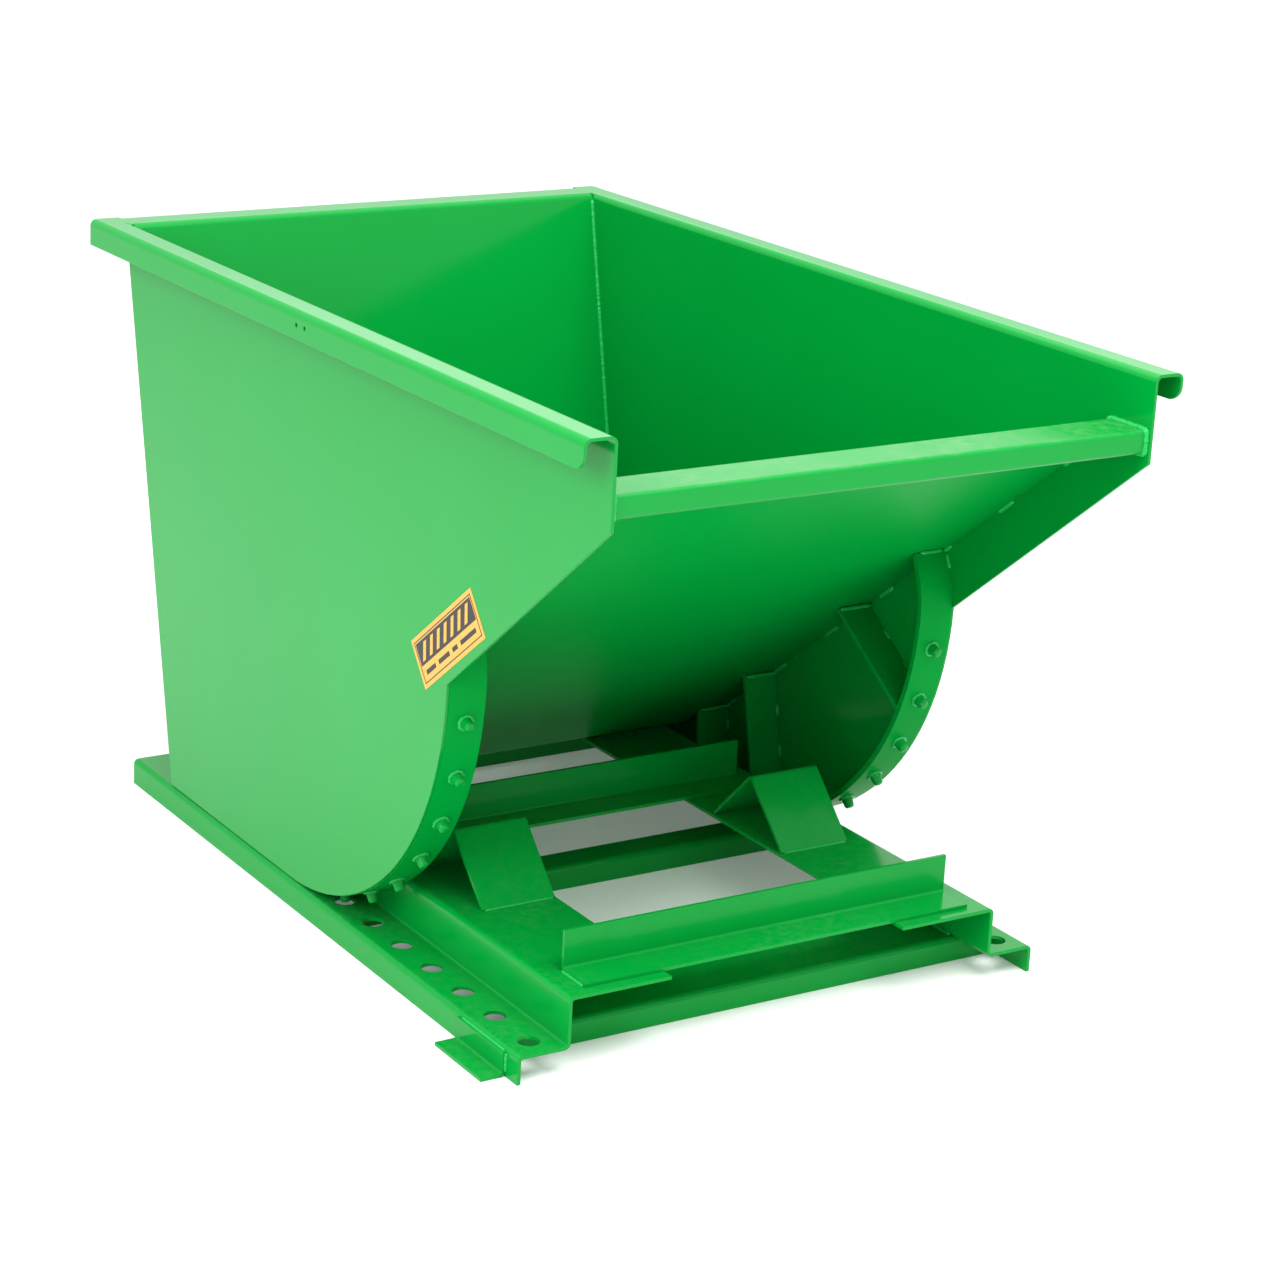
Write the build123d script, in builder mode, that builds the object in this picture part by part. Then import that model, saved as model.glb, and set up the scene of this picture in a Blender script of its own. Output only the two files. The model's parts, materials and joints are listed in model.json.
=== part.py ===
"""Self-dumping hopper: a tipping bin on toothed rockers, rolling on a base with fork pockets.

Millimetres, +Z up, front (the side it dumps over) faces -Y, origin on the floor under the middle
of the whole hopper. Distances named *_from_front are measured back from the rails' front ends.
"""
from build123d import *
import math
import os

os.makedirs("parts", exist_ok=True)

# ---- overall sizes -------------------------------------------------------------------------
base_half_width = 500.0  # to the outside of the rails' outer lips
rail_length = 1430.0
rim_height = 1067.0
rim_front_from_front = -175.0  # the bin overhangs the rails' front ends
rim_rear_from_front = 1536.0
side_plate_inset = 6.0  # side plates in from the rails' outer lips, so each rocker stands on its ledge

# ---- base ----------------------------------------------------------------------------------
rail_wall = 6.0
rail_bend = 7.0  # radius at the middle of the sheet
ledge_height = 48.0  # top of the ledge that a rocker rolls on
ledge_width = 88.0
deck_height = 130.0  # top of the deck plate over each fork
pocket_width = 187.0
angle_leg = 70.0
angle_wall = 6.0
angle_bend = 7.0
upper_angle_end_gap = 40.0  # from its ends to the rails' webs
upper_angle_heels_from_front = {"front": 91.0, "mid": 702.0, "rear": rail_length}
lower_leg_depths = {"front": 140.0, "mid": 62.0, "rear": 62.0}
lower_legs_from_front = {"front": 90.0, "mid": 636.0, "rear": 1231.0}
lower_weld_overlap = 26.0  # how far a lower cross member runs in under a ledge
guard_width = 138.0
guard_half_length = 104.0
guard_height = 105.0
guard_from_front = 452.0
guard_inset = 3.0  # from the deck's inner edge
guard_wall = 6.0
guard_bend = 6.0
bracket_length = 144.0
bracket_from_front = 35.0
bracket_wall = 6.0
bracket_leg = 44.0

# ---- rockers, pegs and the holes they roll into ----------------------------------------------
rocker_radius = 520.0  # outer face of the rocker strip
rocker_centre_from_front = 785.0
rolling_gap = 0.4  # between a rocker strip and its ledge
strip_width = 66.0
strip_thickness = 10.0
strip_turn_angle = 88.0  # from straight down; past it the strip turns in to the chute
strip_turn_radius = 200.0
strip_turn_sweep = 40.0  # degrees drawn, before the top end is cut parallel to the chute
strip_end_gap = 1.0  # between the strip's top end and the chute
plate_setback = 1.5  # side plate's edge inside the strip's outer face
peg_count = 7
peg_pitch = 101.6  # along the rocker's outer face
first_peg_from_turn = 56.66  # along the rocker's face, from where the strip turns in
peg_base_d = 21.0
peg_tip_d = 16.0
peg_length = 19.0
peg_tip_round = 5.0
root_sink = 1.0  # a round bar's root starts this far inside the curved face that it is cut back to
hole_d = 37.0

# ---- bin -----------------------------------------------------------------------------------
sheet = 5.0
back_sheet = 6.0  # the back wall is heavier, so the empty bin's weight lies behind its contact line
sheet_bend = 7.0
rim_bend = 10.0  # radius at the middle of the sheet, where the rims fold over
rim_width = 50.6  # flange beyond the side plate's outer face
rim_lip = 47.0
rim_root = 60.0  # height of the bent rim section, down from the rim's top
lip_corner_radius = 25.0
front_edge_drop = 15.0  # from the front tube's underside down to the end of the side plates' front edges
diagonal_end_angle = 89.4  # where the diagonal edge meets the rocker arc, from straight down
back_edge_from_front = 1491.0  # side plates' back edges at the rim's height
back_lean = 12.1  # degrees that the back wall leans out from upright
back_wall_inset = 20.0  # back wall in from the side plates' back edges
chute_angle = 38.1  # slope of the front sheet
chute_drop = 229.5  # chute's underside below the rocker's centre, square to the sheet
floor_clearance = 10.0  # from the decks up to the underside of the bin's flat floor
tube_depth = 89.0
tube_height = 38.0
tube_wall = 4.0
tube_corner = 7.0
tube_drop = 13.44  # its underside below the chute's, where they meet
tube_setback = 8.0  # behind the side plates' front edges
brace_thickness = 8.0
braces = {  # (from front, height) of two points on each brace's middle: at the chute, at the strip
    "front": ((496.0, 503.0), (311.0, 378.0)),
    "mid": ((762.0, 294.0), (710.0, 62.0)),
    "rear": ((902.0, 184.0), (900.0, 52.0)),
}
tag_hole_d = 8.0
tag_hole_spacing = 29.0
tag_hole_from_front = 689.5
tag_hole_drop = 23.0  # below the rim's top
label_length = 225.0
label_width = 83.0
label_thickness = 0.6
label_corner = 1.0
label_behind_corner = 65.47  # its lowest corner, from where the diagonal edge meets the rocker arc
label_below_corner = 28.97
plug_d = 32.0
plug_thickness = 5.0
plug_gap = 0.3

# ---- latch at the back ---------------------------------------------------------------------
pivot_from_front = 1350.0
pivot_height = 330.0
pivot_d = 16.0
pivot_clearance = 0.05  # radial, in the lever's bore
lever_thickness = 12.0
lever_side_gap = 1.0
ear_thickness = 8.0
ear_height = 56.0
hub_radius = 20.0
striker_d = 16.0
striker_behind_pivot = 35.0
striker_below_pivot = 95.0
hook_arm_width = 22.0
hook_clearance = 1.0
hook_tip_depth = 13.0
latch_throw = 24.0  # degrees from held open, as modelled, to hooked
striker_lug_thickness = 10.0
striker_lug_half_span = 40.0
striker_lug_depth = 44.0
handle_d = 16.0
handle_length = 168.0
handle_rise = 10.0  # degrees above level as modelled
grip_d = 34.0
grip_length = 68.0
nut_width = 24.0
nut_thickness = 9.0

# ---- worked out from the values above --------------------------------------------------------
rail_front = -(rim_front_from_front + rim_rear_from_front) / 2


def at(from_front):
    """Row-frame Y of a distance measured back from the rails' front ends."""
    return rail_front + from_front


side_half_width = base_half_width - side_plate_inset
web_outer = base_half_width - ledge_width
deck_inner = web_outer - pocket_width
upper_angle_half_length = web_outer - upper_angle_end_gap
floor_height = deck_height + floor_clearance
centre_y = at(rocker_centre_from_front)
centre_z = ledge_height + rolling_gap + rocker_radius
side_inner = side_half_width - sheet
rim_half_width = side_half_width + rim_width
rim_front = at(rim_front_from_front)
rim_rear = at(rim_rear_from_front)
plate_radius = rocker_radius - plate_setback
strip_middle_x = side_inner - strip_width / 2
back_slope = math.tan(math.radians(back_lean))
lean_length = back_sheet / math.cos(math.radians(back_lean))  # the wall's thickness along Y
chute_slope = math.tan(math.radians(chute_angle))
tube_front = rim_front + tube_setback
tube_rear = tube_front + tube_depth
first_peg_arc = math.radians(strip_turn_angle) * rocker_radius - first_peg_from_turn
first_hole_from_front = rocker_centre_from_front - first_peg_arc
peg_angles = [math.degrees((first_peg_arc - peg_pitch * i) / rocker_radius) for i in range(peg_count)]
pivot_y = at(pivot_from_front)
striker_y = pivot_y + striker_behind_pivot
striker_z = pivot_height - striker_below_pivot


def rocker_point(radius, angle):
    """(y, z) at an angle from straight down under the rocker's centre, turning to the front."""
    turn = math.radians(angle)
    return (centre_y - radius * math.sin(turn), centre_z - radius * math.cos(turn))


def back_edge_y(z):
    return at(back_edge_from_front) - back_slope * (rim_height - z)


def back_wall_y(z):
    """Inner face of the back wall."""
    return back_edge_y(z) - back_wall_inset - lean_length


def chute_z(y, lift=0.0):
    """Height of the chute's underside, or of the plane that lies lift above it."""
    turn = math.radians(chute_angle)
    foot = (centre_y - chute_drop * math.sin(turn), centre_z - chute_drop * math.cos(turn))
    return foot[1] + (foot[0] - y) * chute_slope + lift / math.cos(turn)


def chute_y(z, lift=0.0):
    return centre_y + (chute_z(centre_y, lift) - z) / chute_slope


tube_bottom = chute_z(tube_rear) - tube_drop
front_edge_bottom = tube_bottom - front_edge_drop
plate_corner = rocker_point(plate_radius, diagonal_end_angle)


def bent_sheet(points, thickness, radius):
    """A folded sheet's section: points run along the middle of the sheet."""
    with BuildSketch() as section:
        with BuildLine():
            FilletPolyline(*points, radius=radius)
        trace(line_width=thickness)
    return section.sketch


def save(name, piece):
    piece.label = name
    export_step(piece, f"parts/{name}.step")


# ---- base: rails ---------------------------------------------------------------------------
# Sheet sections are drawn in a plane whose local x is the row's X (or Y) and local y is Z.
front_plane = Plane(origin=(0, rail_front, 0), x_dir=(1, 0, 0), z_dir=(0, -1, 0))

half_wall = rail_wall / 2
rail_points = [
    (base_half_width - half_wall, 0),
    (base_half_width - half_wall, ledge_height - half_wall),
    (web_outer - half_wall, ledge_height - half_wall),
    (web_outer - half_wall, deck_height - half_wall),
    (deck_inner, deck_height - half_wall),
]
for side in ("left", "right"):
    with BuildPart() as rail:
        with BuildSketch(front_plane):
            add(bent_sheet(rail_points, rail_wall, rail_bend))
        extrude(amount=-rail_length)
        for i in range(peg_count):
            hole_y = at(first_hole_from_front + peg_pitch * i)
            with Locations((strip_middle_x, hole_y, ledge_height)):
                Hole(radius=hole_d / 2, depth=2 * rail_wall)
        if side == "left":
            mirror(about=Plane.YZ, mode=Mode.REPLACE)
    save(f"rail_{side}", rail.part)

# ---- base: cross members -------------------------------------------------------------------
for place, heel_from_front in upper_angle_heels_from_front.items():
    heel = at(heel_from_front) - angle_wall / 2
    angle_points = [
        (heel - angle_leg + angle_wall / 2, deck_height + angle_wall / 2),
        (heel, deck_height + angle_wall / 2),
        (heel, deck_height + angle_leg),
    ]
    with BuildPart() as upper_angle:
        with BuildSketch(Plane.YZ):
            add(bent_sheet(angle_points, angle_wall, angle_bend))
        extrude(amount=upper_angle_half_length, both=True)
    save(f"{place}_upper_angle", upper_angle.part)

lower_top = ledge_height - rail_wall
lower_half_length = web_outer + lower_weld_overlap - rail_wall
for place, face_from_front in lower_legs_from_front.items():
    face = at(face_from_front) + angle_wall / 2
    depth = lower_leg_depths[place]
    leg_points = [
        (face, 0),
        (face, lower_top - angle_wall / 2),
        (face + depth - angle_wall / 2, lower_top - angle_wall / 2),
    ]
    with BuildPart() as lower_member:
        with BuildSketch(Plane.YZ):
            add(bent_sheet(leg_points, angle_wall, angle_bend))
        extrude(amount=lower_half_length, both=True)
        if place == "front":
            with BuildSketch(Plane.YZ):
                with Locations((face, lower_top / 2 - angle_bend / 2)):
                    Rectangle(angle_wall, lower_top - angle_bend)
            extrude(amount=base_half_width - rail_wall, both=True)
    save(f"{place}_lower_member", lower_member.part)

# ---- base: folded guards on the decks and the bracket on the left rail ------------------------
guard_middle = at(guard_from_front)
guard_points = [
    (guard_middle - guard_half_length, deck_height),
    (guard_middle, deck_height + guard_height),
    (guard_middle + guard_half_length, deck_height),
]
guard_plane_x = deck_inner + guard_inset
for side, sign in (("left", -1), ("right", 1)):
    with BuildPart() as guard:
        with BuildSketch(Plane.YZ.offset(sign * guard_plane_x)):
            add(bent_sheet(guard_points, guard_wall, guard_bend))
        extrude(amount=sign * guard_width)
        with BuildSketch(Plane.XY.offset(deck_height)):
            with Locations((0, guard_middle)):
                Rectangle(3 * base_half_width, 3 * guard_half_length)
        extrude(amount=-guard_height, mode=Mode.SUBTRACT)
    save(f"deck_guard_{side}", guard.part)

bracket_points = [
    (-base_half_width - bracket_wall / 2, lower_top),
    (-base_half_width - bracket_wall / 2, bracket_wall / 2),
    (-base_half_width - bracket_leg, bracket_wall / 2),
]
with BuildPart() as side_bracket:
    with BuildSketch(front_plane.offset(-bracket_from_front)):
        add(bent_sheet(bracket_points, bracket_wall, rail_bend))
    extrude(amount=-bracket_length)
save("side_bracket", side_bracket.part)

# ---- bin: side plates ------------------------------------------------------------------------
half_sheet = sheet / 2
rim_points = [
    (side_half_width - half_sheet, rim_height - rim_root),
    (side_half_width - half_sheet, rim_height - half_sheet),
    (rim_half_width - half_sheet, rim_height - half_sheet),
    (rim_half_width - half_sheet, rim_height - rim_lip),
]
inner_rear = back_wall_y(rim_height)
mitre = [(side_inner, inner_rear), (rim_half_width, rim_rear)]
outline_top = rim_height - rim_root / 2
for side in ("left", "right"):
    with BuildPart() as side_plate:
        with BuildSketch(Plane.YZ.offset(side_inner)):
            with BuildLine():
                lowest = rocker_point(plate_radius, 0)
                arc_middle = rocker_point(plate_radius, diagonal_end_angle / 2)
                Polyline((rim_front, outline_top), (rim_front, front_edge_bottom), plate_corner)
                ThreePointArc(plate_corner, arc_middle, lowest)
                Polyline(
                    lowest,
                    (back_edge_y(lowest[1]), lowest[1]),
                    (back_edge_y(outline_top), outline_top),
                    (rim_front, outline_top),
                )
            make_face()
        extrude(amount=sheet)
        with BuildSketch(Plane(origin=(0, rim_front, 0), x_dir=(1, 0, 0), z_dir=(0, -1, 0))):
            add(bent_sheet(rim_points, sheet, rim_bend))
        extrude(amount=-(rim_rear - rim_front))
        with BuildSketch(Plane.XY.offset(rim_height)):
            with BuildLine():
                Polyline(
                    mitre[0],
                    mitre[1],
                    (rim_half_width, rim_rear + rim_lip),
                    (side_inner, rim_rear + rim_lip),
                    close=True,
                )
            make_face()
        extrude(amount=-rim_root, mode=Mode.SUBTRACT)
        with BuildSketch(Plane.YZ.offset(side_inner)):
            with BuildLine():
                Polyline(
                    (inner_rear - rim_root, rim_height - rim_root - sheet),
                    (back_edge_y(rim_height - rim_root - sheet), rim_height - rim_root - sheet),
                    (back_edge_y(rim_height - rim_root / 4), rim_height - rim_root / 4),
                    (inner_rear - rim_root, rim_height - rim_root / 4),
                    close=True,
                )
            make_face()
        extrude(amount=sheet)
        lip_corner = (
            side_plate.edges()
            .filter_by(Axis.X)
            .group_by(Axis.Y)[0]
            .filter_by_position(Axis.X, side_half_width + rim_width / 2, rim_half_width)
            .sort_by(Axis.Z)[0]
        )
        fillet(lip_corner, radius=lip_corner_radius)
        if side == "left":
            for step in (-0.5, 0.5):
                tag_plane = Plane(
                    origin=(
                        rim_half_width,
                        at(tag_hole_from_front) + step * tag_hole_spacing,
                        rim_height - tag_hole_drop,
                    ),
                    z_dir=(1, 0, 0),
                )
                with BuildSketch(tag_plane):
                    Circle(tag_hole_d / 2)
                extrude(amount=-sheet, mode=Mode.SUBTRACT)
            mirror(about=Plane.YZ, mode=Mode.REPLACE)
    save(f"side_plate_{side}", side_plate.part)

# ---- bin: back wall with its rim ---------------------------------------------------------------
half_back = back_sheet / 2
mid_shift = lean_length / 2
back_points = [
    (back_wall_y(floor_height) + mid_shift, floor_height),
    (back_wall_y(rim_height - half_back) + mid_shift, rim_height - half_back),
    (rim_rear - half_back, rim_height - half_back),
    (rim_rear - half_back, rim_height - rim_lip),
]
with BuildPart() as back_wall:
    with BuildSketch(Plane.YZ):
        add(bent_sheet(back_points, back_sheet, rim_bend))
    extrude(amount=side_inner, both=True)
    with BuildSketch(Plane.XY.offset(rim_height)):
        with BuildLine():
            Polyline(
                mitre[0],
                mitre[1],
                (side_inner, rim_rear),
                close=True,
            )
        make_face()
        mirror(about=Plane.YZ)
    extrude(amount=-back_sheet)
    with BuildSketch(Plane.XY.offset(rim_height - half_back)):
        lip_taper = (rim_half_width - side_inner) / (rim_rear - inner_rear)
        lip_reach = rim_half_width - lip_taper * back_sheet
        with BuildLine():
            Polyline(
                mitre[1],
                (lip_reach, rim_rear - back_sheet),
                (side_inner, rim_rear - back_sheet),
                (side_inner, rim_rear),
                close=True,
            )
        make_face()
        mirror(about=Plane.YZ)
    extrude(amount=-(rim_lip - half_back))
    with BuildSketch(Plane.XZ.offset(-(rim_rear + rim_lip))):
        RectangleRounded(2 * rim_half_width, 2 * rim_height, rim_bend + half_sheet)
    extrude(amount=2 * rim_rear, mode=Mode.INTERSECT)
save("back_wall", back_wall.part)

# ---- bin: chute and floor in one folded sheet ----------------------------------------------------
fold_y = chute_y(floor_height)
chute_mid = half_sheet / math.cos(math.radians(chute_angle))
floor_rear = back_wall_y(floor_height + half_sheet)
chute_points = [
    (tube_rear, chute_z(tube_rear) + chute_mid),
    (chute_y(floor_height + half_sheet, half_sheet), floor_height + half_sheet),
    (floor_rear, floor_height + half_sheet),
]
with BuildPart() as chute:
    with BuildSketch(Plane.YZ):
        add(bent_sheet(chute_points, sheet, 4 * sheet_bend))
    extrude(amount=side_inner, both=True)
    with BuildSketch(Plane.YZ):
        with Locations((tube_rear - tube_depth, chute_z(tube_rear))):
            Rectangle(2 * tube_depth, 4 * tube_height)
    extrude(amount=side_inner, both=True, mode=Mode.SUBTRACT)
    with BuildSketch(Plane.YZ):
        with BuildLine():
            Polyline(
                (back_wall_y(0), 0),
                (back_wall_y(2 * floor_height), 2 * floor_height),
                (back_wall_y(2 * floor_height) + floor_height, 2 * floor_height),
                (back_wall_y(0) + floor_height, 0),
                close=True,
            )
        make_face()
    extrude(amount=side_inner, both=True, mode=Mode.SUBTRACT)
save("chute_and_floor", chute.part)

with BuildPart() as front_tube:
    with BuildSketch(Plane.YZ):
        with Locations((tube_front + tube_depth / 2, tube_bottom + tube_height / 2)):
            RectangleRounded(tube_depth, tube_height, tube_corner)
            RectangleRounded(
                tube_depth - 2 * tube_wall,
                tube_height - 2 * tube_wall,
                tube_corner - tube_wall,
                mode=Mode.SUBTRACT,
            )
    extrude(amount=side_inner, both=True)
save("front_tube", front_tube.part)

# ---- bin: rocker strips ------------------------------------------------------------------------
strip_rear = back_edge_y(lowest[1]) - strip_thickness
turn_centre = rocker_point(rocker_radius - strip_turn_radius, strip_turn_angle)


def strip_face(lift):
    """The strip's outer face, or the face that lies lift inside it: bottom, mid-arc, turn, top."""
    low, mid, turn_start = (rocker_point(rocker_radius - lift, strip_turn_angle * k / 2) for k in (0, 1, 2))
    turned = []
    for share in (0.5, 1.0):
        swing = math.radians(strip_turn_angle + share * strip_turn_sweep)
        reach = strip_turn_radius - lift
        turned.append((turn_centre[0] - reach * math.sin(swing), turn_centre[1] - reach * math.cos(swing)))
    return low, mid, turn_start, *turned


outer_face = strip_face(0)
inner_face = strip_face(strip_thickness)
with BuildSketch() as under_chute:
    with BuildLine():
        low, mid, turn_start = inner_face[:3]
        Polyline(turn_start, (turn_start[0], chute_z(turn_start[0])))
        ThreePointArc(turn_start, mid, low)
        Polyline(
            low,
            (fold_y + angle_leg, low[1]),
            (fold_y + angle_leg, floor_height),
            (fold_y, floor_height),
            (turn_start[0], chute_z(turn_start[0])),
        )
    make_face()
strip_plane = Plane.YZ.offset(side_inner - strip_width)
for side in ("left", "right"):
    with BuildPart() as strip:
        with BuildSketch(strip_plane):
            with BuildLine():
                for low, mid, turn_start, turn_mid, top in (outer_face, inner_face):
                    ThreePointArc(low, mid, turn_start)
                    ThreePointArc(turn_start, turn_mid, top)
                Line(outer_face[-1], inner_face[-1])
                Polyline(
                    outer_face[0],
                    (strip_rear, outer_face[0][1]),
                    (strip_rear, inner_face[0][1]),
                    inner_face[0],
                )
            make_face()
            with BuildLine():
                Polyline(
                    (rim_front, chute_z(rim_front, -strip_end_gap)),
                    (fold_y, chute_z(fold_y, -strip_end_gap)),
                    (fold_y, rim_height),
                    (rim_front, rim_height),
                    close=True,
                )
            make_face(mode=Mode.SUBTRACT)
        extrude(amount=strip_width)
        if side == "left":
            mirror(about=Plane.YZ, mode=Mode.REPLACE)
    save(f"rocker_strip_{side}", strip.part)

    with BuildPart() as pegs:
        for angle in peg_angles:
            root = rocker_point(rocker_radius - root_sink, angle)
            turn = math.radians(angle)
            peg_axis = Plane(
                origin=(strip_middle_x, root[0], root[1]),
                x_dir=(1, 0, 0),
                z_dir=(0, -math.sin(turn), -math.cos(turn)),
            )
            with BuildSketch(peg_axis):
                Circle(peg_base_d / 2)
            with BuildSketch(peg_axis.offset(peg_length + root_sink)):
                Circle(peg_tip_d / 2)
            loft()
        fillet(
            pegs.edges().filter_by(GeomType.CIRCLE).filter_by(lambda e: abs(e.radius - peg_tip_d / 2) < 0.01),
            radius=peg_tip_round,
        )
        if side == "left":
            mirror(about=Plane.YZ, mode=Mode.REPLACE)
        add(strip.part, mode=Mode.SUBTRACT)
    save(f"rocker_pegs_{side}", pegs.part)

    for place, (top, foot) in braces.items():
        run = math.hypot(top[0] - foot[0], top[1] - foot[1])
        lean = math.degrees(math.atan2(top[1] - foot[1], top[0] - foot[0]))
        middle = (at((top[0] + foot[0]) / 2), (top[1] + foot[1]) / 2)
        with BuildPart() as brace:
            with BuildSketch(strip_plane):
                with Locations(Location((middle[0], middle[1], 0), (0, 0, lean))):
                    Rectangle(run + 2 * strip_width, brace_thickness)
                add(under_chute.sketch, mode=Mode.INTERSECT)
            extrude(amount=strip_width)
            if side == "left":
                mirror(about=Plane.YZ, mode=Mode.REPLACE)
        save(f"{place}_brace_{side}", brace.part)

# ---- bin: label plate and the plug on the rocker's centre -----------------------------------------
label_origin = (
    -side_half_width,
    plate_corner[0] + label_behind_corner,
    plate_corner[1] - label_below_corner,
)
label_turn = math.radians(chute_angle)
label_run = (0, -math.cos(label_turn), math.sin(label_turn))
label_plane = Plane(origin=label_origin, x_dir=label_run, z_dir=(-1, 0, 0))
with BuildPart() as label:
    with BuildSketch(label_plane):
        with Locations((label_length / 2, label_width / 2)):
            RectangleRounded(label_length, label_width, label_corner)
    extrude(amount=label_thickness)
save("safety_label", label.part)

with BuildPart() as plug:
    with BuildSketch(Plane.YZ.offset(side_half_width + plug_gap)):
        with Locations((centre_y, centre_z)):
            Circle(plug_d / 2)
    extrude(amount=plug_thickness)
    fillet(plug.edges().group_by(Axis.X)[-1], radius=plug_thickness / 3)
save("centre_plug", plug.part)

# ---- latch: ears and pin on the bin, lever, striker on the base ---------------------------------------
ear_inner = lever_thickness / 2 + lever_side_gap
ear_outer = ear_inner + ear_thickness
with BuildPart() as latch_ears:
    for sign in (-1, 1):
        with BuildSketch(Plane.YZ.offset(sign * ear_inner)):
            with BuildLine():
                low = pivot_height - ear_height / 2
                high = pivot_height + ear_height / 2
                wall_low = back_wall_y(low) + lean_length
                wall_high = back_wall_y(high) + lean_length
                Polyline(
                    (pivot_y, high - ear_height / 2 + hub_radius),
                    (wall_high, high),
                    (wall_low, low),
                    (pivot_y, low + ear_height / 2 - hub_radius),
                )
                ThreePointArc(
                    (pivot_y, pivot_height - hub_radius),
                    (pivot_y + hub_radius, pivot_height),
                    (pivot_y, pivot_height + hub_radius),
                )
            make_face()
            with Locations((pivot_y, pivot_height)):
                Circle(pivot_d / 2, mode=Mode.SUBTRACT)
        extrude(amount=sign * ear_thickness)
save("latch_ears", latch_ears.part)

with BuildPart() as latch_pin:
    with BuildSketch(Plane.YZ.offset(-ear_outer - nut_thickness)):
        with Locations((pivot_y, pivot_height)):
            RegularPolygon(nut_width / 2, 6, major_radius=False)
    extrude(amount=nut_thickness)
    with BuildSketch(Plane.YZ.offset(-ear_outer)):
        with Locations((pivot_y, pivot_height)):
            Circle(pivot_d / 2)
    extrude(amount=2 * ear_outer + nut_thickness)
    with BuildSketch(Plane.YZ.offset(ear_outer)):
        with Locations((pivot_y, pivot_height)):
            RegularPolygon(nut_width / 2, 6, major_radius=False)
    extrude(amount=nut_thickness)
save("latch_pin", latch_pin.part)

striker_reach = math.hypot(striker_behind_pivot, striker_below_pivot)
striker_bearing = math.degrees(math.atan2(striker_behind_pivot, striker_below_pivot))
hook_inside = striker_reach + striker_d / 2 + hook_clearance
hook_outside = hook_inside + hook_tip_depth
arm_offset = math.degrees(
    math.asin((hook_arm_width / 2 + striker_d / 2 + hook_clearance) / striker_reach)
)
arm_bearing = striker_bearing - arm_offset - latch_throw  # from straight down, towards the back
tip_bearing = arm_bearing + arm_offset + math.degrees(striker_d / 2 / striker_reach)


def pivot_point(radius, bearing):
    """(y, z) at a bearing from straight down under the latch pin, turning to the back."""
    turn = math.radians(bearing)
    return (pivot_y + radius * math.sin(turn), pivot_height - radius * math.cos(turn))


with BuildPart() as latch_lever:
    with BuildSketch(Plane.YZ.offset(-lever_thickness / 2)):
        with Locations((pivot_y, pivot_height)):
            Circle(hub_radius)
        arm_middle = pivot_point(hook_inside / 2, arm_bearing)
        with Locations(Location((arm_middle[0], arm_middle[1], 0), (0, 0, arm_bearing))):
            Rectangle(hook_arm_width, hook_inside + hook_tip_depth / 2)
        tip_start = arm_bearing - math.degrees(hook_arm_width / 2 / hook_outside)
        with BuildLine():
            sweep_half = (tip_start + tip_bearing) / 2
            out_arc = [pivot_point(hook_outside, b) for b in (tip_start, sweep_half, tip_bearing)]
            in_arc = [pivot_point(hook_inside, b) for b in (tip_bearing, sweep_half, tip_start)]
            ThreePointArc(*out_arc)
            Line(out_arc[2], in_arc[0])
            ThreePointArc(*in_arc)
            Line(in_arc[2], out_arc[0])
        make_face()
        with Locations((pivot_y, pivot_height)):
            Circle(pivot_d / 2 + pivot_clearance, mode=Mode.SUBTRACT)
    extrude(amount=lever_thickness)
save("latch_lever", latch_lever.part)

rise = math.radians(handle_rise)
handle_start = (
    0,
    pivot_y + (hub_radius - root_sink) * math.cos(rise),
    pivot_height + (hub_radius - root_sink) * math.sin(rise),
)
handle_plane = Plane(origin=handle_start, x_dir=(1, 0, 0), z_dir=(0, math.cos(rise), math.sin(rise)))
with BuildPart() as latch_handle:
    with BuildSketch(handle_plane):
        Circle(handle_d / 2)
    extrude(amount=handle_length - hub_radius)
    with BuildSketch(Plane.YZ.offset(-lever_thickness)):
        with Locations((pivot_y, pivot_height)):
            Circle(hub_radius)
    extrude(amount=2 * lever_thickness, mode=Mode.SUBTRACT)
save("latch_handle", latch_handle.part)

grip_plane = handle_plane.offset(handle_length - hub_radius)
with BuildPart() as handle_grip:
    with BuildSketch(grip_plane):
        Circle(grip_d / 2)
    extrude(amount=-grip_length)
    fillet(handle_grip.edges(), radius=grip_d / 4)
    with BuildSketch(grip_plane):
        Circle(handle_d / 2)
    extrude(amount=-grip_length, mode=Mode.SUBTRACT)
save("handle_grip", handle_grip.part)

lug_base = deck_height + angle_wall
with BuildPart() as striker_lugs:
    for sign in (-1, 1):
        with BuildSketch(Plane.YZ.offset(sign * striker_lug_half_span)):
            with Locations((striker_y, (lug_base + striker_z) / 2)):
                Rectangle(striker_lug_depth, striker_z - lug_base)
            with Locations((striker_y, striker_z)):
                Circle(striker_lug_depth / 2)
                Circle(striker_d / 2, mode=Mode.SUBTRACT)
        extrude(amount=sign * striker_lug_thickness)
save("striker_lugs", striker_lugs.part)

with BuildPart() as striker_bar:
    with BuildSketch(Plane.YZ):
        with Locations((striker_y, striker_z)):
            Circle(striker_d / 2)
    extrude(amount=striker_lug_half_span + striker_lug_thickness + lever_side_gap, both=True)
save("striker_bar", striker_bar.part)
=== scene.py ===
"""Looks of the self-dumping hopper: glossy enamel, weld beads, label print and studio.

Metres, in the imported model's frame: +Z up, front towards -Y. The CAD nodes keep their meshes and
get their finishes here. What is added is what a drawing leaves out: welds, peg collars, the
label's print and the ribs on the grip.
"""
import json
import math
import random

import bmesh
import bpy
from mathutils import Matrix, Vector


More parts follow.
